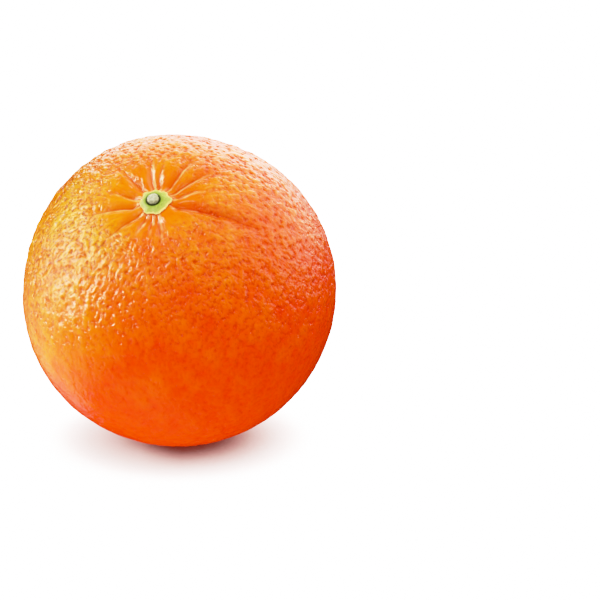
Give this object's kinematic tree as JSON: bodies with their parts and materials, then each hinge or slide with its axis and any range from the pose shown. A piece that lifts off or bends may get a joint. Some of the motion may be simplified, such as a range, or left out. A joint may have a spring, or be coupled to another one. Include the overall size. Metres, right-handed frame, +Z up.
{
  "type": "orange",
  "caption": "Whole sweet orange with pitted skin, furrows round its stem end, a dried green calyx and a stub of stem, resting on a small flat spot.",
  "frame": {"origin": "bottom centre of the bounding box, on the small flat spot that the fruit rests on", "axes": "+Z up from the surface the fruit rests on, its shortest extent; +X along its longest extent; the stem end leans about 42 degrees from +Z, towards -Y and a little to -X"},
  "size_m": [0.0778, 0.0778, 0.0769],
  "materials": {
    "orange_skin": "waxy semi-gloss, pitted by oil glands",
    "calyx_green": "matt, dried leafy green with a cream edge",
    "stem_cork": "matt, pale corky end grain"
  },
  "bodies": {
    "root": {"fruit": "orange_skin", "calyx": "calyx_green", "stem_stub": "stem_cork"}
  },
  "joints": []
}
